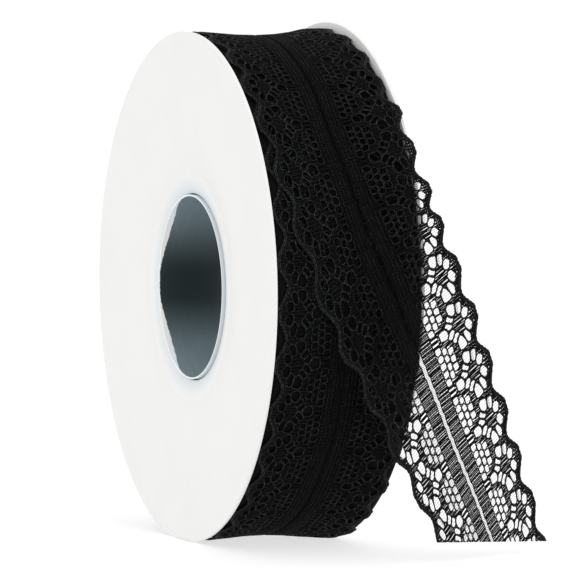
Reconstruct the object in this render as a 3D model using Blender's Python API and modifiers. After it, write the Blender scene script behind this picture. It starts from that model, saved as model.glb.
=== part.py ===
# A spool of lace trim: two round plastic flanges on an open core, black lace wound
# between them, and the loose end of the last turn hanging down at the front.
# Metres, +Z up. The spool's axis runs along X and the front of the roll faces -Y.

import math

import bpy
import bmesh

MM = 0.001

# Spool
SPOOL_WIDTH = 46.6 * MM            # outer face to outer face, at the rims
FLANGE_RADIUS = 76.2 * MM
FLANGE_THICKNESS = 1.0 * MM
FLANGE_DISH = 1.9 * MM             # the thin discs are pressed apart at their rims
RIGHT_FLANGE_RADIUS = 75.5 * MM
RIGHT_FLANGE_LIFT = 3.7 * MM       # its disc sits high on the hub
AXIS_HEIGHT = 75.8 * MM            # the left rim stands on a small flat spot
HUB_RADIUS = 35.0 * MM             # edge of the round seat in the middle of each flange
HUB_DEPTH = 2.5 * MM               # from the rim's outer face to the seat
FIT_GAP = 0.3 * MM

# Core
CORE_BORE_RADIUS = 26.4 * MM
CORE_WALL = 1.2 * MM
CORE_INSET = 2.4 * MM              # from the rim's outer face to the end of the tube
LIP_ROUND = 0.3 * MM

# Wound lace: (distance from the left outer face, radius) along its outer side
WOUND_PROFILE = (
    (1.6 * MM, 74.5 * MM),
    (2.6 * MM, 75.0 * MM),
    (6.0 * MM, 74.8 * MM),
    (14.0 * MM, 74.2 * MM),
    (24.0 * MM, 74.0 * MM),
    (32.0 * MM, 74.4 * MM),
    (38.0 * MM, 75.2 * MM),
    (42.0 * MM, 76.1 * MM),
    (44.0 * MM, 76.0 * MM),
    (45.0 * MM, 75.2 * MM),
)
SIDE_GAP = 0.6 * MM                # between the wound lace and the flanges

# Loose end of the last turn
LACE_HALF_WIDTH = 21.9 * MM         # at the crests of the scallops
LACE_MIDDLE = 23.3 * MM            # from the left outer face, where it lies straight
SCALLOP_PITCH = 15.0 * MM
SCALLOP_DEPTH = 2.5 * MM
TAIL_THICKNESS = 1.0 * MM
TAIL_LIE = 1.0 * MM                # middle of the sheet above the wound lace
TAIL_START_ANGLE = math.radians(57.6)  # above the front-most line of the roll
DRIFT_START_ANGLE = math.radians(47)
TAIL_SKEW = math.radians(22.5)     # slant of the part that hangs free
TAIL_SWING = 0.8 * MM              # further out sideways, at its end
TAIL_NECKING = 0.045               # share of its width that its own pull takes away
TAIL_SHEAR = 0.24                  # its right edge lies this far back, per width
TAIL_TWIST = math.radians(26)      # turn about a vertical line, at its end
TAIL_END_HEIGHT = 4.6 * MM
TAIL_END_TILT = math.radians(3.9)  # the plain cut runs a little down to the right
RIM_CLEARANCE = 2.0 * MM

ROUND_STEPS = 72
CORE_STEPS = 60
ROWS_PER_SCALLOP = 8
TAIL_COLUMNS = 6


def clear_scene():
    for obj in list(bpy.data.objects):
        bpy.data.objects.remove(obj, do_unlink=True)


def new_collection(name):
    collection = bpy.data.collections.new(name)
    bpy.context.scene.collection.children.link(collection)
    return collection


def add_material(obj, color, roughness, metallic=0.0):
    material = bpy.data.materials.new(obj.name + "_material")
    material.use_nodes = True
    shader = material.node_tree.nodes["Principled BSDF"]
    shader.inputs["Base Color"].default_value = (*color, 1.0)
    shader.inputs["Roughness"].default_value = roughness
    shader.inputs["Metallic"].default_value = metallic
    obj.data.materials.append(material)


def turned(name, profile, steps, collection, parent):
    # profile: a closed loop of (distance along the axis, radius), down its outer side.
    mesh = bpy.data.meshes.new(name)
    points = [(radius, 0.0, along) for along, radius in profile]
    edges = [(i, (i + 1) % len(points)) for i in range(len(points))]
    mesh.from_pydata(points, edges, [])
    obj = bpy.data.objects.new(name, mesh)
    collection.objects.link(obj)
    obj.parent = parent
    obj.rotation_euler = (0.0, math.radians(90), 0.0)
    screw = obj.modifiers.new("Turn", "SCREW")
    screw.steps = steps
    screw.render_steps = steps
    screw.use_merge_vertices = True
    screw.merge_threshold = 0.00001
    screw.use_smooth_shade = True
    return obj


def bake_modifiers(obj):
    depsgraph = bpy.context.evaluated_depsgraph_get()
    mesh = bpy.data.meshes.new_from_object(obj.evaluated_get(depsgraph))
    obj.modifiers.clear()
    obj.data = mesh


def flange_profile(radius):
    # Distances from the rim's outer face. The disc is dished towards the hub, and
    # its middle is a flat seat, one step deeper. Runs from the inner face at the
    # rim, over the rim and back through the bore.
    chamfer = 0.25 * MM
    step = 0.5 * MM
    bore = CORE_BORE_RADIUS + CORE_WALL + FIT_GAP
    return [
        (FLANGE_THICKNESS, radius - chamfer),
        (FLANGE_THICKNESS - chamfer, radius),
        (chamfer, radius),
        (0.0, radius - chamfer),
        (FLANGE_DISH, HUB_RADIUS),
        (HUB_DEPTH, HUB_RADIUS - step),
        (HUB_DEPTH, bore),
        (HUB_DEPTH + FLANGE_THICKNESS, bore),
        (HUB_DEPTH + FLANGE_THICKNESS, HUB_RADIUS + step),
        (FLANGE_DISH + FLANGE_THICKNESS, HUB_RADIUS + 2 * step),
    ]


def make_flange(name, radius, lift, side, collection, parent):
    profile = flange_profile(radius)
    if side > 0:
        profile = [(SPOOL_WIDTH - along, r) for along, r in reversed(profile)]
    obj = turned(name, profile, ROUND_STEPS, collection, parent)
    if lift:
        # the disc keeps its flat face; only its rim is off the hub's centre
        bake_modifiers(obj)
        for vertex in obj.data.vertices:
            if math.hypot(vertex.co.x, vertex.co.y) > HUB_RADIUS + 5.0 * MM:
                vertex.co.x -= lift
    add_material(obj, (0.86, 0.86, 0.84), 0.45)
    return obj


def make_core(collection, parent):
    left = CORE_INSET
    right = SPOOL_WIDTH - CORE_INSET
    inner = CORE_BORE_RADIUS
    outer = CORE_BORE_RADIUS + CORE_WALL
    profile = [
        (right, inner + LIP_ROUND),
        (right, outer - LIP_ROUND),
        (right - LIP_ROUND, outer),
        (left + LIP_ROUND, outer),
        (left, outer - LIP_ROUND),
        (left, inner + LIP_ROUND),
        (left + LIP_ROUND, inner),
        (right - LIP_ROUND, inner),
    ]
    obj = turned("core", profile, CORE_STEPS, collection, parent)
    add_material(obj, (0.05, 0.07, 0.075), 0.2)
    return obj


def make_lace_roll(collection, parent):
    inner = CORE_BORE_RADIUS + CORE_WALL + FIT_GAP
    hub_edge = HUB_RADIUS + 2.0 * MM
    by_disc = FLANGE_DISH + FLANGE_THICKNESS + SIDE_GAP
    by_seat = HUB_DEPTH + FLANGE_THICKNESS + SIDE_GAP
    profile = list(reversed(WOUND_PROFILE)) + [
        (by_disc, hub_edge),
        (by_seat, hub_edge - 0.5 * MM),
        (by_seat, inner),
        (SPOOL_WIDTH - by_seat, inner),
        (SPOOL_WIDTH - by_seat, hub_edge - 0.5 * MM),
        (SPOOL_WIDTH - by_disc, hub_edge),
    ]
    obj = turned("lace_roll", profile, ROUND_STEPS, collection, parent)
    add_material(obj, (0.012, 0.012, 0.014), 0.75)
    return obj


def wound_radius(along):
    # radius of the wound lace at a distance from the left outer face
    points = WOUND_PROFILE
    if along <= points[0][0]:
        return points[0][1]
    for (a0, r0), (a1, r1) in zip(points, points[1:]):
        if along <= a1:
            return r0 + (r1 - r0) * (along - a0) / (a1 - a0)
    return points[-1][1]


def smooth(value):
    value = min(max(value, 0.0), 1.0)
    return value * value * (3.0 - 2.0 * value)


def lie_radius(along, angle):
    # Radius at which the middle of the sheet lies: on the wound lace, and lifted
    # clear of the right flange's rim where it crosses it.
    near = (along - 2.0 * MM, along, along + 2.0 * MM)
    resting = max(wound_radius(place) for place in near) + TAIL_LIE
    rim = RIGHT_FLANGE_RADIUS + RIGHT_FLANGE_LIFT * math.sin(max(angle, 0.0))
    over_rim = rim + RIM_CLEARANCE + TAIL_THICKNESS / 2
    across = smooth((along - 28.0 * MM) / (14.0 * MM))
    crossing = smooth((DRIFT_START_ANGLE + math.radians(5) - angle) / math.radians(14))
    return resting + (over_rim - resting) * across * crossing


def middle_line(below):
    # Sideways place of the middle line and its slope. Unrolled, it bends away from
    # the straight winding, runs at its slant and swings out a little at the end.
    start = -DRIFT_START_ANGLE * FLANGE_RADIUS
    slope = math.tan(TAIL_SKEW)
    bend = slope / (2.0 * -start)
    if below < start:
        return LACE_MIDDLE, 0.0
    if below < 0.0:
        return LACE_MIDDLE + bend * (below - start) ** 2, 2.0 * bend * (below - start)
    drift = LACE_MIDDLE + bend * start * start
    share = below / AXIS_HEIGHT
    sideways = drift + slope * below + TAIL_SWING * share ** 2
    return sideways, slope + 2.0 * TAIL_SWING / AXIS_HEIGHT * share


def tail_point(below, across):
    # below: unrolled height under the front-most line of the roll, of the middle
    # line; across: distance from the middle line, square to it.
    sideways, slope = middle_line(below)
    slant = math.atan(slope)
    across *= 1.0 - TAIL_NECKING * smooth(below / AXIS_HEIGHT)
    along = sideways + across * math.cos(slant)
    below = below - across * math.sin(slant)
    if below < 0.0:
        angle = -below / FLANGE_RADIUS
        radius = lie_radius(along, angle)
        return along, -radius * math.cos(angle), AXIS_HEIGHT + radius * math.sin(angle)
    middle = middle_line(below)[0]
    twist = TAIL_TWIST * (below / AXIS_HEIGHT) ** 1.1
    flatten = smooth(below / (0.6 * AXIS_HEIGHT))
    hang = lie_radius(along, 0.0)
    hang += (FLANGE_RADIUS + RIM_CLEARANCE - hang) * flatten
    offset = along - middle
    return middle + offset * math.cos(twist), offset * math.sin(twist) - hang, AXIS_HEIGHT - below


def edge_distance(row, below, side):
    # From the middle line to the scalloped edge. The lace is sheared where it hangs,
    # so the scallops of the right edge come sooner and those of the left edge later.
    hanging = smooth((below / FLANGE_RADIUS + math.radians(25)) / math.radians(25))
    shear = TAIL_SHEAR * hanging * side * LACE_HALF_WIDTH
    turn = 2.0 * math.pi * (row / ROWS_PER_SCALLOP + shear / SCALLOP_PITCH)
    return LACE_HALF_WIDTH - SCALLOP_DEPTH * (0.5 + 0.5 * math.cos(turn)) ** 1.3


def tail_rows():
    # unrolled heights, an eighth of a scallop apart as measured along the middle line
    step = SCALLOP_PITCH / ROWS_PER_SCALLOP
    below = -TAIL_START_ANGLE * FLANGE_RADIUS
    rows = [below]
    while below < AXIS_HEIGHT + LACE_HALF_WIDTH / 2:
        below += step / math.hypot(1.0, middle_line(below)[1])
        rows.append(below)
    return rows


def make_lace_tail(collection, parent):
    rows = tail_rows()
    bm = bmesh.new()
    bmesh.ops.create_grid(bm, x_segments=TAIL_COLUMNS, y_segments=len(rows) - 1, size=1.0)
    for vertex in bm.verts:
        row = round((1.0 - vertex.co.y) / 2 * (len(rows) - 1))
        side = math.copysign(1.0, vertex.co.x)
        across = vertex.co.x * edge_distance(row, rows[row], side)
        along, depth, height = tail_point(rows[row], across)
        vertex.co = (along - SPOOL_WIDTH / 2, depth, height)
    mesh = bpy.data.meshes.new("lace_tail")
    bm.to_mesh(mesh)
    bm.free()
    obj = bpy.data.objects.new("lace_tail", mesh)
    collection.objects.link(obj)
    obj.parent = parent
    solidify = obj.modifiers.new("Thickness", "SOLIDIFY")
    solidify.thickness = TAIL_THICKNESS
    solidify.offset = 0.0
    add_material(obj, (0.012, 0.012, 0.014), 0.75)
    return obj


def make_cutter(name, top, tilt, collection, parent):
    # a block whose upper face is the cut, through a point straight under the middle
    # of the loose end
    bpy.ops.mesh.primitive_cube_add(size=1.0)
    cutter = bpy.context.object
    cutter.name = name
    width, depth = 0.4, 0.1
    cutter.dimensions = (width, width, depth)
    cutter.rotation_euler = (0.0, tilt, 0.0)
    middle = middle_line(AXIS_HEIGHT)[0] - SPOOL_WIDTH / 2
    cutter.location = (
        middle - depth / 2 * math.sin(tilt),
        0.0,
        top - depth / 2 * math.cos(tilt),
    )
    for home in list(cutter.users_collection):
        home.objects.unlink(cutter)
    collection.objects.link(cutter)
    cutter.parent = parent
    cutter.hide_render = True
    cutter.display_type = "WIRE"
    return cutter


def cut(obj, cutter):
    boolean = obj.modifiers.new("Cut", "BOOLEAN")
    boolean.operation = "DIFFERENCE"
    boolean.object = cutter


def centre_footprint(root, objects):
    # put the middle of the whole footprint on the origin
    bpy.context.view_layer.update()
    depsgraph = bpy.context.evaluated_depsgraph_get()
    xs, ys = [], []
    for obj in objects:
        evaluated = obj.evaluated_get(depsgraph)
        for vertex in evaluated.data.vertices:
            point = evaluated.matrix_world @ vertex.co
            xs.append(point.x)
            ys.append(point.y)
    root.location.x = -(min(xs) + max(xs)) / 2
    root.location.y = -(min(ys) + max(ys)) / 2


def main():
    clear_scene()
    parts = new_collection("lace_trim_roll")
    cutters = new_collection("cutters")

    root = bpy.data.objects.new("roll_place", None)
    parts.objects.link(root)
    axis = bpy.data.objects.new("spool_axis", None)
    parts.objects.link(axis)
    axis.parent = root
    axis.location = (-SPOOL_WIDTH / 2, 0.0, AXIS_HEIGHT)

    flange_left = make_flange("flange_left", FLANGE_RADIUS, 0.0, -1, parts, axis)
    flange_right = make_flange(
        "flange_right", RIGHT_FLANGE_RADIUS, RIGHT_FLANGE_LIFT, 1, parts, axis
    )
    core = make_core(parts, axis)
    lace_roll = make_lace_roll(parts, axis)
    lace_tail = make_lace_tail(parts, root)

    floor_cut = make_cutter("floor_cut", 0.0, 0.0, cutters, root)
    cut(flange_left, floor_cut)
    cut(lace_roll, floor_cut)
    cut(lace_tail, make_cutter("end_cut", TAIL_END_HEIGHT, TAIL_END_TILT, cutters, root))

    centre_footprint(root, (flange_left, flange_right, core, lace_roll, lace_tail))


main()
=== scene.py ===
# The looks of a roll of lace trim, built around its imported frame.
# Metres, +Z up. The spool's axis runs along X, and the loose end hangs on the -Y side.
# Along the spool, distances are measured from the outer face of the left disc.

import math

import bmesh
import bpy
import numpy as np
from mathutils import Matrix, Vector


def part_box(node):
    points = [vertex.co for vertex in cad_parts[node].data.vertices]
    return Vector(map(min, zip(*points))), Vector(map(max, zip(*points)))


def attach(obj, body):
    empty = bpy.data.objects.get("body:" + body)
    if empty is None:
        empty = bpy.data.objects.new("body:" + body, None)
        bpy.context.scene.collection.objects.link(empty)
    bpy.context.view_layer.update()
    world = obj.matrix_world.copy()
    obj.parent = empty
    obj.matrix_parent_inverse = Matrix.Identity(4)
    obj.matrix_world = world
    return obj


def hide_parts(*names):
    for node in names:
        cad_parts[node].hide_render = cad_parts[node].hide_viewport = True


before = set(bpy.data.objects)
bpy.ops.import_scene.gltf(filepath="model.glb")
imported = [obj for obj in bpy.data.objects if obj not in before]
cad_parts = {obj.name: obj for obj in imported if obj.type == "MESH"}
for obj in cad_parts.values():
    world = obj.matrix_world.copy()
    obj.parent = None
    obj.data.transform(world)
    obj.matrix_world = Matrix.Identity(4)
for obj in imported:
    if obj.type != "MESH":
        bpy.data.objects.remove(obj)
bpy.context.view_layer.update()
print("frame loaded:", ", ".join(sorted(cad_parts)))

mm = 0.001
discRadius = 76.2 * mm
discLow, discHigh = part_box("flange_left")
spoolLeft = discLow.x                               # outer face of the left disc
axisY = (discLow.y + discHigh.y) / 2
axisZ = discHigh.z - discRadius
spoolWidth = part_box("flange_right")[1].x - spoolLeft


class Wire:
    # A value in a material. Its operators add Math nodes, and node() adds any other.
    def __init__(self, tree, socket=None):
        self.tree = tree
        self.socket = socket

    def node(self, kind, settings=None, values=None, output=0):
        made = self.tree.nodes.new(kind)
        for name, value in (settings or {}).items():
            setattr(made, name, value)
        for name, value in (values or {}).items():
            if isinstance(value, Wire):
                self.tree.links.new(value.socket, made.inputs[name])
            else:
                made.inputs[name].default_value = value
        return Wire(self.tree, made.outputs[output])

    def maths(self, operation, *values):
        return self.node("ShaderNodeMath", {"operation": operation}, dict(enumerate(values)))

    def mix(self, low, high):
        # the colour low where this value is 0, and high where it is 1
        return self.node(
            "ShaderNodeMix", {"data_type": "RGBA"}, {0: self, 6: low, 7: high}, output=2
        )

    def ramp(self, start, end):
        # from 0 to 1 between two values, smoothly
        return self.node(
            "ShaderNodeMapRange",
            {"interpolation_type": "SMOOTHSTEP"},
            {"Value": self, "From Min": start, "From Max": end},
        )

    def __add__(self, other):
        return self.maths("ADD", self, other)

    def __radd__(self, other):
        return self.maths("ADD", other, self)

    def __sub__(self, other):
        return self.maths("SUBTRACT", self, other)

    def __rsub__(self, other):
        return self.maths("SUBTRACT", other, self)

    def __mul__(self, other):
        return self.maths("MULTIPLY", self, other)

    def __rmul__(self, other):
        return self.maths("MULTIPLY", other, self)

    def __truediv__(self, other):
        return self.maths("DIVIDE", self, other)


def newMaterial(name, uniform):
    # uniform: what is the same all over, straight on the shader's sockets
    material = bpy.data.materials.new(name)
    material.use_nodes = True
    shader = material.node_tree.nodes["Principled BSDF"]
    for socket, value in uniform.items():
        shader.inputs[socket].default_value = value
    start = Wire(material.node_tree)
    place = start.node("ShaderNodeTexCoord", output=3)
    return material, place, shader


def feed(shader, socket, wire):
    wire.tree.links.new(wire.socket, shader.inputs[socket])


def noise(place, scale, detail=3.0, roughness=0.5):
    values = {"Vector": place, "Scale": scale, "Detail": detail, "Roughness": roughness}
    return place.node("ShaderNodeTexNoise", None, values)


def bump(height, distance, strength):
    values = {"Height": height, "Distance": distance, "Strength": strength}
    return height.node("ShaderNodeBump", None, values)


def coordinates(place):
    # the three parts of a place
    values = {"Vector": place}
    return [place.node("ShaderNodeSeparateXYZ", None, values, output=i) for i in range(3)]


def fromAxis(place):
    # distance from the spool's axis
    y, z = coordinates(place)[1:]
    square = (y - axisY) * (y - axisY) + (z - axisZ) * (z - axisZ)
    return square.maths("SQRT", square)


discFinish = {
    "white": (0.835, 0.832, 0.82, 1.0),
    "shade": (0.82, 0.818, 0.81, 1.0),
    # painted shade in the recess round the bore, and the radii between which it fades out
    "recessShade": (0.70, 0.745, 0.77, 1.0),
    "recessShadeFrom": 28.4 * mm,
    "recessShadeTo": 34.0 * mm,
    "mottle": 60.0,
    "mottleFrom": 0.35,
    "mottleTo": 0.75,
    "roughness": 0.44,
    "roughnessSpread": 0.14,
    "smears": 260.0,
    "grain": 1800.0,
    "grainHeight": 0.02 * mm,
    "grainStrength": 0.35,
}


def discMaterial():
    s = discFinish
    material, place, shader = newMaterial("discPlastic", {"Roughness": 0.5})
    cloudy = noise(place, s["mottle"], 4.0).ramp(s["mottleFrom"], s["mottleTo"])
    # painted shade: bluish grey by the bore, fading to the plain white towards the hub's edge
    face = fromAxis(place).ramp(s["recessShadeFrom"], s["recessShadeTo"])
    feed(shader, "Base Color", face.mix(s["recessShade"], cloudy.mix(s["white"], s["shade"])))
    feed(shader, "Roughness", s["roughness"] + s["roughnessSpread"] * noise(place, s["smears"]))
    grain = noise(place, s["grain"], 2.0)
    feed(shader, "Normal", bump(grain, s["grainHeight"], s["grainStrength"]))
    return material


coreFinish = {
    "dark": (0.020, 0.030, 0.032, 1.0),
    # the colour of the painted reflection on the film
    "light": (0.23, 0.30, 0.33, 1.0),
    "lip": (0.93, 0.94, 0.945, 1.0),
    "rim": (0.62, 0.67, 0.70, 1.0),    # outside the lip: painted shade, like that of the disc's recess
    "lipWidth": 0.45 * mm,
    "collar": 1.6 * mm,                # how far the white of the lip runs into the bore
    "collarSwells": (0.08, 0.62),      # heights between which it grows to that
    "collarFades": (0.72, 1.0),        # and between which it is gone again
    "ragged": 0.9 * mm,
    "tears": 520.0,
    "filmFrom": 0.12 * mm,             # the film starts between these, inside the white
    "filmTo": 0.34 * mm,
    "reflectionFrom": 0.12,                  # heights, as shares of the bore's radius
    "reflectionTo": 1.1,
    "streaks": (900.0, 90.0, 90.0),
    "streakLow": 0.86,
    "streakSpread": 0.28,
    "roughness": 0.24,
    "lipRoughness": 0.3,               # added on the white
}


def coreMaterial(coreLeft, coreRight, boreRadius):
    s = coreFinish
    material, place, shader = newMaterial("coreFilm", {"Specular IOR Level": 0.5})
    x, _, z = coordinates(place)
    height = (z - axisZ) / boreRadius
    # painted reflection: the dark film is paler towards the top and the bottom of the bore
    paintedReflection = height.maths("ABSOLUTE", height).ramp(s["reflectionFrom"], s["reflectionTo"])
    streaks = place.node("ShaderNodeMapping", None, {"Vector": place, "Scale": s["streaks"]})
    paintedReflection = paintedReflection * (s["streakLow"] + s["streakSpread"] * noise(streaks, 1.0, 3.0))
    film = paintedReflection.mix(s["dark"], s["light"])
    # the white end of the tube, with a ragged edge to the film inside it
    inward = (x - coreLeft).maths("MINIMUM", x - coreLeft, coreRight - x)
    away = height.maths("ABSOLUTE", height)
    reach = away.ramp(*s["collarSwells"]) * (1.0 - away.ramp(*s["collarFades"])) * s["collar"]
    ragged = reach + s["ragged"] * (noise(place, s["tears"], 4.0, 0.7) - 0.5)
    white = 1.0 - (inward - ragged).ramp(s["filmFrom"], s["filmTo"])
    # painted shade on the tube's end, beyond the white lip
    outside = fromAxis(place).ramp(boreRadius + 0.6 * s["lipWidth"], boreRadius + s["lipWidth"])
    feed(shader, "Base Color", outside.mix(white.mix(film, s["lip"]), s["rim"]))
    feed(shader, "Roughness", s["roughness"] + s["lipRoughness"] * white)
    return material


threadFinish = {
    # the threads' own black, and the colour of their painted highlights
    "dark": (0.0018, 0.0021, 0.0019, 1.0),
    "light": (0.075, 0.080, 0.078, 1.0),
    "speckle": 2400.0,
    "patch": 300.0,
    "patchLow": 0.3,
    "patchSpread": 1.2,
    "offCrestHighlight": 0.08,                    # painted highlight away from the crests
    "highlightMaskFrom": 0.36,
    "highlightMaskTo": 0.78,
    "roughness": 0.5,
    "roughnessSpread": 0.25,
    "gloss": 900.0,
    "fibre": 5200.0,
    "fibreHeight": 0.05 * mm,
    "fibreStrength": 0.6,
    "shine": 0.06,
}


def threadMaterial():
    s = threadFinish
    material, place, shader = newMaterial("laceThread", {"Specular IOR Level": s["shine"]})
    # painted highlight, speckled, and strongest along the tops of the raised threads
    crest = place.node("ShaderNodeAttribute", {"attribute_name": "crest"}, None, 2)
    highlightMask = noise(place, s["speckle"], 3.0, 0.6).ramp(s["highlightMaskFrom"], s["highlightMaskTo"])
    patchy = s["patchLow"] + s["patchSpread"] * noise(place, s["patch"], 2.0)
    highlightMask = (s["offCrestHighlight"] + crest * crest) * highlightMask * patchy
    feed(shader, "Base Color", highlightMask.mix(s["dark"], s["light"]))
    feed(shader, "Roughness", s["roughness"] + s["roughnessSpread"] * noise(place, s["gloss"]))
    feed(shader, "Normal", bump(noise(place, s["fibre"], 2.0), s["fibreHeight"], s["fibreStrength"]))
    return material


woundFinish = {
    "dark": (0.003, 0.003, 0.0035, 1.0),
    "light": (0.010, 0.010, 0.011, 1.0),
    "turns": 3600.0,                   # rings of edges on the wound sides
    "threads": 9000.0,
    "mesh": 1100.0,
    "meshShare": 0.5,
    "turnShare": 0.25,
    "threadShare": 0.15,
    "litFrom": 0.1,
    "litTo": 0.7,
    "turnHeight": 0.4,                 # of the turns in the relief, against the mesh
    "relief": 0.2 * mm,
    "reliefStrength": 0.7,
}


def woundMaterial():
    s = woundFinish
    uniform = {"Roughness": 0.85, "Specular IOR Level": 0.08}
    material, place, shader = newMaterial("woundLace", uniform)
    turn = fromAxis(place) * s["turns"]
    rings = turn.maths("SINE", turn)
    thread = coordinates(place)[0] * s["threads"]
    across = thread.maths("SINE", thread)
    mesh = noise(place, s["mesh"], 3.0, 0.6)
    lit = s["meshShare"] * mesh + s["turnShare"] * rings + s["threadShare"] * across
    lit = lit.ramp(s["litFrom"], s["litTo"])
    feed(shader, "Base Color", lit.mix(s["dark"], s["light"]))
    height = mesh + s["turnHeight"] * rings
    feed(shader, "Normal", bump(height, s["relief"], s["reliefStrength"]))
    return material


spool = {
    "thickness": 1.0 * mm,
    "dish": 1.9 * mm,                  # how far the disc is pressed in at the hub
    "hubEdge": 35.4 * mm,
    "bore": 27.1 * mm,
    "wall": 0.5 * mm,
    "gap": 0.3 * mm,
    "coreInset": 2.4 * mm,
    "rightRadius": 75.5 * mm,
    "rightLift": 3.7 * mm,
    "rings": (0.0, 0.03, 0.1, 0.25, 0.5, 0.75),   # from the rim to the hub, as shares
    "steps": 192,
    "sharpFrom": math.radians(50),     # edges that are rounded
    "discEdge": 0.22 * mm,
    "coreEdge": 0.12 * mm,
}

# the moulded middle of a disc: (depth below the rim's face, radius)
hubProfile = (
    (1.90, 35.40),
    (2.04, 35.15),
    (1.98, 34.85),
    (2.16, 34.50),
    (2.34, 33.60),
    (2.62, 31.60),
    (2.98, 29.60),
    (3.30, 28.50),
    (3.40, 27.92),
)


def turnedPiece(name, profile, roundEdges=0.0):
    # profile: (distance along the spool, radius), spun about the spool's axis
    bm = bmesh.new()
    verts = [bm.verts.new((spoolLeft + along, axisY, axisZ + r)) for along, r in profile]
    edges = [bm.edges.new(pair) for pair in zip(verts, verts[1:] + verts[:1])]
    centre = Vector((0.0, axisY, axisZ))
    bmesh.ops.spin(
        bm, geom=verts + edges, cent=centre, axis=(1.0, 0.0, 0.0),
        angle=2.0 * math.pi, steps=spool["steps"], use_merge=True,
    )
    bmesh.ops.remove_doubles(bm, verts=bm.verts, dist=0.001 * mm)
    bmesh.ops.recalc_face_normals(bm, faces=bm.faces)
    if roundEdges:
        limit = spool["sharpFrom"]
        sharp = [e for e in bm.edges if e.is_manifold and e.calc_face_angle(0.0) > limit]
        bmesh.ops.bevel(
            bm, geom=sharp, offset=roundEdges, segments=3, profile=0.5,
            affect="EDGES", material=-1, clamp_overlap=True,
        )
    for face in bm.faces:
        face.smooth = True
    return finishPiece(name, bm)


def finishPiece(name, bm):
    mesh = bpy.data.meshes.new(name)
    bm.to_mesh(mesh)
    bm.free()
    piece = bpy.data.objects.new(name, mesh)
    bpy.context.scene.collection.objects.link(piece)
    return piece


def dress(piece, material, slot, *nodes):
    # its finish, its slot, which is not used, and the nodes it stands for; it goes on the root body
    piece.data.materials.clear()
    piece.data.materials.append(material)
    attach(piece, "root")
    if nodes:
        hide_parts(*nodes)


def cutBelow(piece, point, normal):
    # cuts off what lies beyond a plane and closes the cut
    bm = bmesh.new()
    bm.from_mesh(piece.data)
    geom = bm.verts[:] + bm.edges[:] + bm.faces[:]
    bmesh.ops.bisect_plane(bm, geom=geom, plane_co=point, plane_no=normal, clear_outer=True)
    rims = [edge for edge in bm.edges if edge.is_boundary]
    filled = bmesh.ops.holes_fill(bm, edges=rims, sides=0)
    bmesh.ops.recalc_face_normals(bm, faces=bm.faces)
    for face in filled["faces"]:
        face.smooth = False
    bm.to_mesh(piece.data)
    bm.free()


def discProfile(radius):
    s = spool
    slope = s["hubEdge"] - radius
    outside = [(s["dish"] * share, radius + slope * share) for share in s["rings"]]
    outside += [(depth * mm, r * mm) for depth, r in hubProfile]
    inside = [(depth + s["thickness"], r) for depth, r in reversed(outside)]
    return outside + inside


def makeDiscs():
    s = spool
    finish = discMaterial()
    left = turnedPiece("discLeft", discProfile(discRadius), s["discEdge"])
    dress(left, finish, "flange", "flange_left")

    profile = [(spoolWidth - along, r) for along, r in discProfile(s["rightRadius"])]
    right = turnedPiece("discRight", profile, s["discEdge"])
    for vertex in right.data.vertices:   # its rim sits high on the hub
        radius = math.hypot(vertex.co.y - axisY, vertex.co.z - axisZ)
        share = (radius - s["hubEdge"]) / (s["rightRadius"] - s["hubEdge"])
        vertex.co.z += s["rightLift"] * max(share, 0.0)
    dress(right, finish, "flange", "flange_right")

    # the left rim is flat on the floor
    cutBelow(left, Vector((0.0, 0.0, 0.0)), Vector((0.0, 0.0, -1.0)))
    print("discs made")


def makeCore():
    s = spool
    left, right = s["coreInset"], spoolWidth - s["coreInset"]
    outer = s["bore"] + s["wall"]
    profile = [(left, outer), (left, s["bore"]), (right, s["bore"]), (right, outer)]
    core = turnedPiece("coreTube", profile, s["coreEdge"])
    dress(core, coreMaterial(spoolLeft + left, spoolLeft + right, s["bore"]), "core", "core")
    print("core made")


# outside of the wound lace: (along the spool, radius), in millimetres
woundProfile = (
    (1.6, 74.5),
    (2.6, 75.0),
    (6.0, 74.8),
    (14.0, 74.2),
    (24.0, 74.0),
    (32.0, 74.4),
    (38.0, 75.2),
    (42.0, 76.1),
    (44.0, 76.1),
    (45.0, 76.0),
)

tail = {
    "middle": 23.3,                    # its middle line, along the spool, where it lies straight
    "startAngle": math.radians(57.6),  # where the loose end begins, above the front-most line
    "driftAngle": math.radians(47),    # where it starts to leave the winding's line
    "skew": math.radians(22.5),
    "swing": 0.8,
    "necking": 0.045,
    "twist": math.radians(26),
    "lie": 1.0,
    "innerLie": 0.35,                  # the other end of the last turn, one turn below
    "rimClearance": 2.5,
    "shear": 0.24,
    "endHeight": 4.2,
    "endTilt": math.radians(3.9),
    "floorGap": 0.25,
    "floorPress": 0.5,                 # share of its height that a thread keeps on the floor
    "floorLow": 0.3,                   # how far the lowest thread is under the strip's middle
    "near": 2.0,                       # the lace rests on the highest point this near
    "crossFrom": 28.0,                 # along the spool, where it starts to rise over the rim
    "crossWidth": 14.0,
    "crossLead": math.radians(5),
    "crossTurn": math.radians(14),
    "shearTurn": math.radians(25),     # turn over which it comes to hang
    "twistPower": 1.1,
    "flattenShare": 0.6,               # of the height, by which it hangs flat
}

lace = {
    "pitch": 15.0,                     # from flower to flower
    "halfWidth": 21.9,
    "scallopDepth": 2.5,
    "scallopPower": 1.3,
    "flatness": 0.68,                  # height of a thread against its width
    "tailRepeats": 12,
    "turnRepeats": 32,
    "turnPieces": 4,
    "border": 0.3,                     # from the edge to the middle of the outer cord
    "bumpHeight": 0.22,
    "bumpPlace": 1.8,                  # of the two bumps, from the crest's middle
    "bumpWidth": 0.7,
    "cockle": 0.22,                    # how far the edges of the loose end wave
    "crestFrom": 0.2,                  # height at which a thread's painted highlight starts
    "crestRise": 0.14,
}


def smooth(value):
    value = np.clip(value, 0.0, 1.0)
    return value * value * (3.0 - 2.0 * value)


def woundRadius(along):
    places, radii = zip(*woundProfile)
    return np.interp(along, places, radii)


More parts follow.
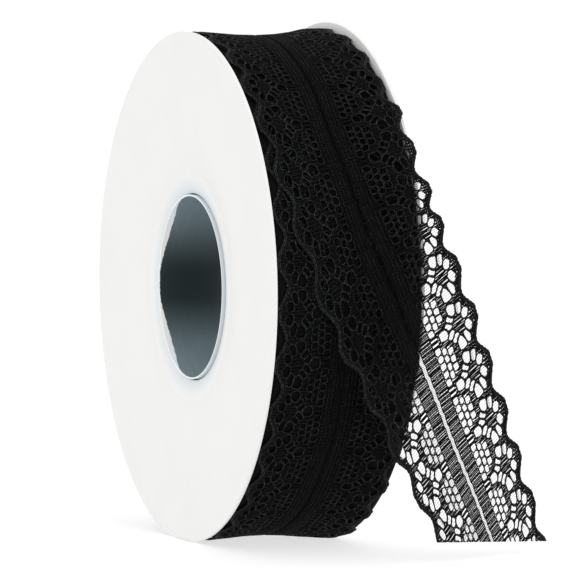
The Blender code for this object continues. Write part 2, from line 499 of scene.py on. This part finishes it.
def lieRadius(along, angle, lie):
    # on the wound lace, and lifted clear of the right rim where it crosses it
    near = [woundRadius(along + step) for step in (-tail["near"], 0.0, tail["near"])]
    resting = np.maximum(np.maximum(near[0], near[1]), near[2]) + lie
    rim = (spool["rightRadius"] + spool["rightLift"] * np.sin(np.maximum(angle, 0.0))) / mm
    overRim = rim + tail["rimClearance"]
    across = smooth((along - tail["crossFrom"]) / tail["crossWidth"])
    crossing = smooth((tail["driftAngle"] + tail["crossLead"] - angle) / tail["crossTurn"])
    return resting + (overRim - resting) * across * crossing


def middleLine(below):
    # sideways place of the middle line and its slope, at an unrolled height under
    # the front-most line
    start = -tail["driftAngle"] * discRadius / mm
    height = axisZ / mm
    slope = math.tan(tail["skew"])
    bend = slope / (2.0 * -start)
    bent = np.clip(below - start, 0.0, -start)
    hung = np.maximum(below, 0.0)
    share = hung / height
    place = tail["middle"] + bend * bent ** 2 + slope * hung + tail["swing"] * share ** 2
    return place, 2.0 * bend * bent + 2.0 * tail["swing"] / height * share


def unrolledHeight(arc):
    # height under the front-most line, from the length along the middle line
    steps = np.linspace(-1.0, 1.0, 801) * 130.0
    slopes = middleLine(steps)[1]
    lengths = np.concatenate(([0.0], np.cumsum(np.hypot(1.0, (slopes[1:] + slopes[:-1]) / 2))))
    lengths *= steps[1] - steps[0]
    start = -tail["startAngle"] * discRadius / mm
    lengths -= np.interp(start, steps, lengths)
    return np.where(arc < lengths[0], steps[0] + arc - lengths[0], np.interp(arc, lengths, steps))


def lacePlace(arc, across):
    # Points of the laid lace, from the length along it (negative round the roll,
    # positive on the loose end) and the distance from its middle line.
    below = unrolledHeight(arc)
    hanging = smooth((below / (discRadius / mm) + tail["shearTurn"]) / tail["shearTurn"])
    below = unrolledHeight(arc - tail["shear"] * hanging * across)
    height = axisZ / mm
    sideways, slope = middleLine(below)
    slant = np.arctan(slope)
    across = across * (1.0 - tail["necking"] * smooth(below / height))
    along = sideways + across * np.cos(slant)
    below = below - across * np.sin(slant)

    turnLength = lace["pitch"] * lace["turnRepeats"]
    back = np.clip(arc, -turnLength, 0.0)
    lie = tail["lie"] + (tail["lie"] - tail["innerLie"]) * back / turnLength
    angle = -below / (discRadius / mm)
    radius = lieRadius(along, angle, lie)
    onRoll = (along, -radius * np.cos(angle), height + radius * np.sin(angle))

    middle = middleLine(below)[0]
    share = np.maximum(below, 0.0) / height
    twist = tail["twist"] * share ** tail["twistPower"]
    hang = lieRadius(along, 0.0 * along, tail["lie"])
    flat = smooth(share / tail["flattenShare"])
    hang = hang + (discRadius / mm + tail["rimClearance"] - hang) * flat
    offset = along - middle
    hung = (middle + offset * np.cos(twist), offset * np.sin(twist) - hang, height - below)

    points = np.where(below < 0.0, onRoll, hung)
    return np.stack(points, 1)


def layThreads(flat):
    # flat: (along the strip, from its middle, above it) for each vertex
    arc, across, above = flat.T
    above = above * lace["flatness"]
    # the threads wander a little, along the strip and across it
    slow = 0.16 * np.sin(arc / 6.1 + 0.9 * np.sin(across / 4.0))
    quick = 0.1 * np.sin(arc / 2.3 + across / 3.1)
    arc = arc + slow + quick
    edge = np.abs(across) / lace["halfWidth"]
    across = across + 0.12 * np.sin(arc / 5.3 + across / 6.0)
    step = 0.05
    place = lacePlace(arc, across)
    forward = lacePlace(arc + step, across) - place
    sideways = lacePlace(arc, across + step) - place
    normal = np.cross(forward, sideways)
    normal /= np.linalg.norm(normal, axis=1)[:, None]
    # the edges of the loose end cockle a little
    wave = np.sin(arc / 3.7 + 2.0 * np.sin(arc / 11.0))
    cockle = lace["cockle"] * edge ** 4 * wave * (arc > -1.0)
    place = place + normal * (above + cockle)[:, None]
    floor = tail["floorGap"] + tail["floorPress"] * (above + tail["floorLow"])
    place[:, 2] = np.maximum(place[:, 2], floor)
    return place * mm + np.array((spoolLeft, axisY, 0.0))


# One repeat of the lace, in millimetres: u runs along the strip from the flower's
# middle, v from the strip's middle to its scalloped edge.

threads = {
    "outline": 0.27,
    "net": 0.2,
    "hatch": 0.235,
    "hatchPitch": 0.5,
    "ladder": 0.235,
    "rungs": 28,
    "rail": 0.18,
    "chain": 0.085,
    "bar": 0.23,
    "cord": 0.36,
    "hair": 0.042,
    "fluff": 0.03,
    "slotHairs": 58,                   # fine threads across the slot
    "raised": 0.34,                    # height of the threads round the holes
    "seed": 11,
}

# where the ground of the lace has no hatching: in the net and in the bars
ground = {
    "netTop": 11.15,
    "netReach": 6.15,                  # half the net's length, at its foot
    "netNarrows": 0.6,                 # and what it loses for each millimetre above
    "netFoot": 6.0,
    "barsTop": 7.2,
    "barsReach": 2.0,
    "from": 4.9,                       # where the hatching starts and ends
    "to": 22.2,
    "lean": 0.016,
    "leanMiddle": 13.0,
    "above": 0.03,
    "edge": 0.2,
    "piece": 2.2,                      # length of its straight pieces
    "step": 0.1,
}

# threads that run along the strip or across it, by their distance from its middle
rows = {
    "ladder": (2.3, 5.0),
    "rail": 4.95,
    "chains": (1.6, 2.75, 3.9),
    "netRails": ((7.2, 5.4), (9.1, 4.2), (11.15, 3.4)),      # distance, half length
    "bars": (-1.6, -1.18, -0.2, 0.2, 1.18, 1.6),             # three double bars
    "barPlaces": (4.95, 6.2, 7.5),
    "veil": (5.4, 10.9, 0.42),                               # from, to and step
    "veilFrom": 1.9,
    "stays": (-7.2, 7.4, 0.75),
    "slants": (15.3, 16.8, 0.3),
    "fibres": (-2.1, 1.7, 4.4),
}

# cords along the scalloped edge: distance inside it, waviness, thread, height
cords = (
    (0.0, 0.0, "cord", 0.0),
    (0.5, 0.05, "cord", 0.05),
    (1.12, 0.14, "hatch", 0.02),
    (1.75, 0.1, "net", 0.06),
)

# holes of the net between two flowers: distance from the middle, holes in the
# column, their length and width
netPitch = 2.4
netColumns = (
    (6.1, 5, 1.95, 1.90),
    (8.1, 4, 1.85, 1.45),
    (10.1, 3, 1.90, 1.85),
)

# holes of the flower's right half: u, v, length, width, turn in degrees, taper
petals = (
    (1.35, 12.0, 2.5, 1.55, -46.0, 0.0),
    (2.85, 13.1, 2.5, 1.5, -42.0, 0.0),
    (5.00, 14.5, 3.6, 2.4, 8.0, 0.3),
    (4.40, 16.85, 3.5, 1.6, 16.0, 0.1),
    (1.90, 18.3, 3.0, 2.1, 14.0, 0.1),
)
throat = (0.0, 9.6, 3.0, 2.9, 0.0, 0.0)

# how unevenly a hole is drawn: its corners, then the outline along it and across it
uneven = {
    "start": 0.4,
    "power": 0.66,                     # 1 for an ellipse, less for a squarer hole
    "corners": 0.09,
    "along": 0.07,
    "across": 0.06,
}


def scallop(u):
    # distance of the edge from the middle, with two small bumps on each crest
    turn = 2.0 * np.pi * u / lace["pitch"]
    valley = (0.5 - 0.5 * np.cos(turn)) ** lace["scallopPower"]
    fromBump = (np.abs(u) - lace["bumpPlace"]) / lace["bumpWidth"]
    bumps = lace["bumpHeight"] * np.exp(-(fromBump ** 2))
    ripple = 0.06 * np.sin(13.0 * turn + 1.0) + 0.05 * np.sin(9.0 * turn)
    return lace["halfWidth"] - lace["border"] - lace["scallopDepth"] * valley + bumps + ripple


def slotEdge(u, side):
    # distance of the slot's edge from the middle, which winds a little
    turn = 2.0 * np.pi * u / lace["pitch"]
    return 0.65 + 0.11 * side * np.cos(4.0 * turn) + 0.06 * np.cos(8.0 * turn + side)


def laceHoles():
    # every hole of one half of a repeat, as (u, v, length, width, turn, taper)
    holes = [throat]
    for u, v, length, width, turn, taper in petals:
        holes.append((u * 1.04, v, length * 1.08, width, turn, taper))
        holes.append((-u, v - 0.15, length * 0.94, width, -turn, -taper))
    for v, count, length, width in netColumns:
        for i in range(count):
            u = lace["pitch"] / 2 + (i - (count - 1) / 2) * netPitch
            holes.append((u, v, length, width, 0.0, 0.0))
            if u > lace["pitch"] / 2:
                holes[-1] = (u - lace["pitch"], v, length, width, 0.0, 0.0)
    return holes


def holeOutline(hole, grow, steps, draw):
    u, v, length, width, turn, taper = hole
    angle = np.linspace(0.0, 2.0 * np.pi, steps, endpoint=False) + uneven["start"]
    angle = angle + draw.normal(0.0, uneven["corners"], steps)
    power = uneven["power"]
    x = np.sign(np.cos(angle)) * np.abs(np.cos(angle)) ** power
    y = np.sign(np.sin(angle)) * np.abs(np.sin(angle)) ** power * (1.0 + taper * x)
    x = x * (length / 2 + grow) + draw.normal(0.0, uneven["along"], steps)
    y = y * (width / 2 + grow) + draw.normal(0.0, uneven["across"], steps)
    c, s = math.cos(math.radians(turn)), math.sin(math.radians(turn))
    return np.stack((u + x * c - y * s, v + x * s + y * c), 1)


def insideHole(hole, u, v, grow):
    pitch = lace["pitch"]
    hu, hv, length, width, turn, taper = hole
    du = (u - hu + pitch / 2) % pitch - pitch / 2
    dv = v - hv
    c, s = math.cos(math.radians(turn)), math.sin(math.radians(turn))
    x = (du * c + dv * s) / (length / 2 + grow)
    y = (dv * c - du * s) / ((width / 2 + grow) * (1.0 + taper * np.clip(x, -1.0, 1.0)))
    return np.abs(x) ** 3.0 + np.abs(y) ** 3.0 < 1.0


def inNet(u, v):
    # the panel of net, which has no hatching
    fromMiddle = np.abs((u % lace["pitch"]) - lace["pitch"] / 2)
    reach = ground["netReach"] - ground["netNarrows"] * np.maximum(v - ground["netFoot"], 0.0)
    return (v < ground["netTop"]) & (fromMiddle < reach)


def inBars(u, v):
    # the open bars between two panels of net
    fromFlower = np.abs((u + lace["pitch"] / 2) % lace["pitch"] - lace["pitch"] / 2)
    return (v < ground["barsTop"]) & (fromFlower < ground["barsReach"])


def runs(mask):
    # first and last index of each stretch of True
    edges = np.flatnonzero(np.diff(np.concatenate(([0], mask.astype(int), [0]))))
    return [(a, b - 1) for a, b in zip(edges[::2], edges[1::2]) if b - 1 - a >= 2]


def hatching(holes, draw):
    # slanted threads that fill the ground between the holes
    count = round(lace["pitch"] / threads["hatchPitch"])
    v = np.arange(ground["from"], ground["to"], ground["step"])
    found = []
    for i in range(count):
        start = (i + 0.5) * threads["hatchPitch"] - lace["pitch"] / 2
        side = 1.0 if i % 2 else -1.0
        lean = side * ground["lean"] + draw.normal(0.0, 0.006)
        u = start + lean * (v - ground["leanMiddle"]) + draw.normal(0.0, 0.04)
        u = u + 0.07 * np.sin(v / 1.1 + 1.9 * i)
        keep = (v < scallop(u) - ground["edge"]) & ~inNet(u, v) & ~inBars(u, v)
        for hole in holes:
            keep &= ~insideHole(hole, u, v, 0.05)
        above = side * ground["above"]
        for first, last in runs(keep):
            pieces = max(1, round((last - first) * ground["step"] / ground["piece"]))
            picks = np.linspace(first, last, pieces + 1).round().astype(int)
            found.append(np.stack((u[picks], v[picks], np.full(len(picks), above)), 1))
    return found


def rungs(side, draw):
    # threads across the strip from the slot to the net
    count = threads["rungs"]
    pitch = lace["pitch"] / count
    found = []
    for i in range(count):
        u = (i + 0.5) * pitch - lace["pitch"] / 2 + draw.normal(0.0, 0.045)
        spread = {2: -0.11, 3: 0.11}.get(i % 7, 0.0)   # every seventh gap is wider at the slot
        inner = slotEdge(u, side)
        places = np.array((inner, *rows["ladder"]))
        sideways = np.array((spread - 0.04 * side, draw.normal(0.0, 0.03), 0.07 * side))
        found.append(np.stack((u + sideways, places, 0.0 * places), 1))
    return found


def rail(v, wave, period, above, steps, span=None):
    # a thread along the strip, over a whole repeat unless a span is given
    low, high = span or (-lace["pitch"] / 2, lace["pitch"] / 2)
    u = np.linspace(low, high, steps + 1)
    return np.stack((u, v + wave * np.cos(2.0 * np.pi * u / period), np.full(len(u), above)), 1)


def halfRepeat(side, draw):
    # threads of one half of a repeat, as {thickness: [(points, closed)]}
    half = {}

    def add(kind, points, closed=False):
        half.setdefault(threads[kind], []).append((points, closed))

    holes = laceHoles()
    for hole in holes:
        isNet = hole[1] < 11.0 and hole != throat
        kind = "net" if isNet else "outline"
        flat = holeOutline(hole, threads[kind] * 0.9, 8 if isNet else 11, draw)
        height = np.full(len(flat), threads["raised"] - threads[kind])
        add(kind, np.column_stack((flat, height)), True)
    for points in hatching(holes, draw):
        add("hatch", points)

    # rungs beside the slot, the rails that carry them and the chains along them
    for points in rungs(side, draw):
        add("ladder", points)
    middle = lace["pitch"] / 2
    u = np.linspace(-middle, middle, 49)
    add("rail", np.stack((u, slotEdge(u, side) + 0.12, np.full(len(u), 0.08)), 1))
    add("rail", rail(rows["rail"], 0.06, lace["pitch"] / 6, 0.05, 24))
    for v in rows["chains"]:
        add("chain", rail(v, 0.14, lace["pitch"] / 8, 0.25, 24))

    # rails between the columns of the net, either side of the repeat's seam
    for v, reach in rows["netRails"]:
        for span in ((middle - reach, middle), (-middle, reach - middle)):
            add("net", rail(v, 0.05, netPitch, 0.0, 6, span))

    # three double bars between two panels of net
    v = np.array(rows["barPlaces"])
    for u in rows["bars"]:
        add("bar", np.stack((u + 0.03 * (v - 6.0), v, 0.0 * v), 1))

    # cords that follow the scalloped edge
    u = np.linspace(-middle, middle, 46)
    turn = 2.0 * np.pi * u / lace["pitch"]
    for inset, wave, kind, above in cords:
        place = scallop(u) - inset - wave * np.sin(11.0 * turn + inset)
        add(kind, np.stack((u, place, np.full(len(u), above)), 1))

    # fine threads that veil a part of the lace
    if side < 0.0:
        for v in np.arange(*rows["veil"]):
            for span in ((rows["veilFrom"], middle), (-middle, -rows["veilFrom"])):
                add("hair", rail(v, 0.0, lace["pitch"], -0.1, 1, span))
    for u in np.arange(*rows["stays"]):
        add("hair", np.array(((u, 5.2, -0.12), (u, float(scallop(u)) - 1.0, -0.12))))
    for place in np.arange(*rows["slants"]):
        add("hair", np.array(((-6.3, place + 0.4, 0.0), (-2.6, place - 0.3, 0.0))))

    # loose fibres on the crest
    for place in rows["fibres"]:
        reach = draw.uniform(0.3, 0.7)
        lean = draw.normal(0.0, 0.5)
        top = scallop(np.array(place))
        share = np.array((0.0, 0.35, 0.7, 1.0))
        curl = lean * share + 0.18 * np.sin(5.0 * share)
        out = top + 0.2 + reach * share * (1.4 - 0.6 * share)
        add("fluff", np.stack((place + curl, out, 0.4 * share), 1))
    return half


def laceRepeat():
    # all threads of a repeat: two halves, and the fine threads across the slot
    draw = np.random.default_rng(threads["seed"])
    whole = {}
    for side in (1.0, -1.0):
        for thickness, parts in halfRepeat(side, draw).items():
            for points, closed in parts:
                points = points * np.array((1.0, side, 1.0))
                whole.setdefault(thickness, []).append((points, closed))
    count = threads["slotHairs"]
    for i in range(count):
        u = (i + 0.5) * lace["pitch"] / count - lace["pitch"] / 2
        lean = 0.2 if i % 2 else -0.2
        points = np.array(((u - lean, -0.7, 0.0), (u + lean, 0.7, 0.0)))
        whole.setdefault(threads["hair"], []).append((points, False))
    return whole


def repeatMesh(whole):
    # the threads as four-sided tubes in one mesh
    bm = bmesh.new()
    for thickness, parts in whole.items():
        curve = bpy.data.curves.new("threads", "CURVE")
        curve.dimensions = "3D"
        curve.bevel_depth = thickness
        curve.bevel_resolution = 0
        curve.use_fill_caps = True
        for points, closed in parts:
            spline = curve.splines.new("POLY")
            spline.points.add(len(points) - 1)
            weighted = np.column_stack((points, np.ones(len(points))))
            spline.points.foreach_set("co", weighted.ravel())
            spline.use_cyclic_u = closed
        holder = bpy.data.objects.new("threads", curve)
        bpy.context.scene.collection.objects.link(holder)
        depsgraph = bpy.context.evaluated_depsgraph_get()
        mesh = bpy.data.meshes.new_from_object(holder.evaluated_get(depsgraph))
        bm.from_mesh(mesh)
        bpy.data.objects.remove(holder)
        bpy.data.meshes.remove(mesh)
    bmesh.ops.remove_doubles(bm, verts=bm.verts, dist=0.0005)
    mesh = bpy.data.meshes.new("laceRepeat")
    bm.to_mesh(mesh)
    bm.free()
    return mesh


def laceStrip(name, repeat, first, count):
    # repeats in a row, from the first flower's place along the strip, laid in place
    piece = bpy.data.objects.new(name, repeat.copy())
    bpy.context.scene.collection.objects.link(piece)
    array = piece.modifiers.new("Repeats", "ARRAY")
    array.count = count
    array.use_relative_offset = False
    array.use_constant_offset = True
    array.constant_offset_displace = (lace["pitch"], 0.0, 0.0)
    depsgraph = bpy.context.evaluated_depsgraph_get()
    mesh = bpy.data.meshes.new_from_object(piece.evaluated_get(depsgraph))
    piece.modifiers.clear()
    piece.data = mesh
    flat = np.zeros(len(mesh.vertices) * 3)
    mesh.vertices.foreach_get("co", flat)
    flat = flat.reshape(-1, 3)
    flat[:, 0] += first
    # how high each vertex sits on its thread, which sets the painted highlight
    crest = mesh.attributes.new("crest", "FLOAT", "POINT")
    highlightMask = (flat[:, 2] - lace["crestFrom"]) / lace["crestRise"]
    crest.data.foreach_set("value", np.clip(highlightMask, 0.0, 1.0))
    mesh.vertices.foreach_set("co", layThreads(flat).ravel())
    mesh.polygons.foreach_set("use_smooth", [True] * len(mesh.polygons))
    mesh.update()
    return piece


def cutEnd(piece):
    # the plain cut across the end, which runs a little down to the right
    middle = middleLine(axisZ / mm)[0] * mm + spoolLeft
    point = Vector((middle, 0.0, tail["endHeight"] * mm))
    normal = Vector((-math.sin(tail["endTilt"]), 0.0, -math.cos(tail["endTilt"])))
    cutBelow(piece, point, normal)


def sheetArea(repeats):
    # flat area of the scalloped strip, in square metres
    u = np.linspace(-0.5, 0.5, 200, endpoint=False) * lace["pitch"]
    return 2.0 * float(np.mean(scallop(u))) * repeats * lace["pitch"] * mm * mm


def makeLace():
    finish = threadMaterial()
    repeat = repeatMesh(laceRepeat())
    repeat.calc_loop_triangles()
    print("one repeat of lace:", len(repeat.loop_triangles), "triangles")
    pitch = lace["pitch"]

    each = lace["turnRepeats"] // lace["turnPieces"]
    for i in range(lace["turnPieces"]):
        first = -pitch * lace["turnRepeats"] + pitch * (each * i + 0.5)
        turn = laceStrip(f"laceTurn{i + 1}", repeat, first, each)
        dress(turn, finish, "lace")
        sheetArea(each)
        print(turn.name, "laid")

    loose = laceStrip("laceTail", repeat, pitch * 0.5, lace["tailRepeats"])
    cutEnd(loose)
    dress(loose, finish, "lace", "lace_tail")
    length = tailLength()
    sheetArea(length / pitch)
    print("loose end laid")


def tailLength():
    # length of the loose end along its middle line, down to the cut
    arcs = np.linspace(0.0, lace["tailRepeats"] * lace["pitch"], 400)
    heights = lacePlace(arcs, 0.0 * arcs)[:, 2]
    return float(arcs[np.argmax(heights < tail["endHeight"])])


wound = {
    "sink": 0.15 * mm,
    "rise": 0.3 * mm,                  # of its edge by the right disc
    "hub": 37.0 * mm,                  # its sides step back from here to the seat
    "hubStep": 2.5 * mm,
    "sideGap": 0.6 * mm,
    "bySeat": 4.8 * mm,
    "foot": 0.4 * mm,                  # clear of the floor, on which the last turn lies
}


def makeWoundLace():
    # what lies under the last turn, drawn in by its thickness
    w = wound
    profile = [(along * mm, radius * mm - w["sink"]) for along, radius in reversed(woundProfile)]
    profile[:2] = [(along, radius + w["rise"]) for along, radius in profile[:2]]
    inner = spool["bore"] + spool["wall"] + spool["gap"]
    byDisc = spool["dish"] + spool["thickness"] + w["sideGap"]
    side = [(byDisc, w["hub"]), (w["bySeat"], w["hub"] - w["hubStep"]), (w["bySeat"], inner)]
    profile += side
    profile += [(spoolWidth - along, radius) for along, radius in reversed(side)]
    piece = turnedPiece("woundLace", profile)
    cutBelow(piece, Vector((0.0, 0.0, w["foot"])), Vector((0.0, 0.0, -1.0)))
    dress(piece, woundMaterial(), "lace", "lace_roll")
    print("wound lace made")


studio = {
    "floor": (0.3, 0.3, 0.3, 1.0),
    "glow": 0.70,                      # a paper lit from behind, so that shadows stay faint
    "sky": 1.03,
    "floorReach": 12.0,
    "aimedAt": Vector((0.0, 0.0, 0.075)),
    "lamps": (                         # name, place, size, power
        ("softboxLeft", (-1.1, -1.5, 1.3), 1.2, 2.0),
        ("softboxTop", (0.3, -0.2, 1.9), 1.4, 3.0),
    ),
    "lens": 287.5,
    "sensor": 36.0,
    "farthest": 50.0,
    "camera": Vector((-0.47083, -1.28924, 0.06110)),   # from the middle of the left disc's face
    "heading": math.radians(21.38),                     # to the right of straight ahead
    "dip": math.radians(2.563),
}


def makeStudio():
    s = studio
    world = bpy.data.worlds.new("studioWorld")
    bpy.context.scene.world = world
    world.use_nodes = True
    background = world.node_tree.nodes["Background"]
    background.inputs["Color"].default_value = (1.0, 1.0, 1.0, 1.0)
    background.inputs["Strength"].default_value = s["sky"]

    bm = bmesh.new()
    bmesh.ops.create_grid(bm, x_segments=1, y_segments=1, size=s["floorReach"])
    floor = finishPiece("studioFloor", bm)
    material = newMaterial("floorPaper", {
        "Base Color": s["floor"], "Roughness": 0.9,
        "Emission Color": (1.0, 1.0, 1.0, 1.0), "Emission Strength": s["glow"],
    })[0]
    floor.data.materials.append(material)

    for name, place, size, power in s["lamps"]:
        light = bpy.data.lights.new(name, "AREA")
        light.size = size
        light.energy = power
        lamp = bpy.data.objects.new(name, light)
        bpy.context.scene.collection.objects.link(lamp)
        lamp.location = place
        lamp.rotation_euler = (s["aimedAt"] - Vector(place)).to_track_quat("-Z", "Y").to_euler()

    camera = bpy.data.objects.new("camera", bpy.data.cameras.new("camera"))
    bpy.context.scene.collection.objects.link(camera)
    camera.data.lens = s["lens"]
    camera.data.sensor_width = s["sensor"]
    camera.data.clip_end = s["farthest"]
    camera.location = Vector((spoolLeft, axisY, axisZ)) + s["camera"]
    level = math.cos(s["dip"])
    ahead = math.cos(s["heading"]) * level
    aim = Vector((math.sin(s["heading"]) * level, ahead, -math.sin(s["dip"])))
    camera.rotation_mode = "QUATERNION"
    camera.rotation_quaternion = aim.to_track_quat("-Z", "Y")
    bpy.context.scene.camera = camera
    bpy.context.scene.view_settings.view_transform = "Standard"
    print("studio set")


makeStudio()
makeDiscs()
makeCore()
makeWoundLace()
makeLace()
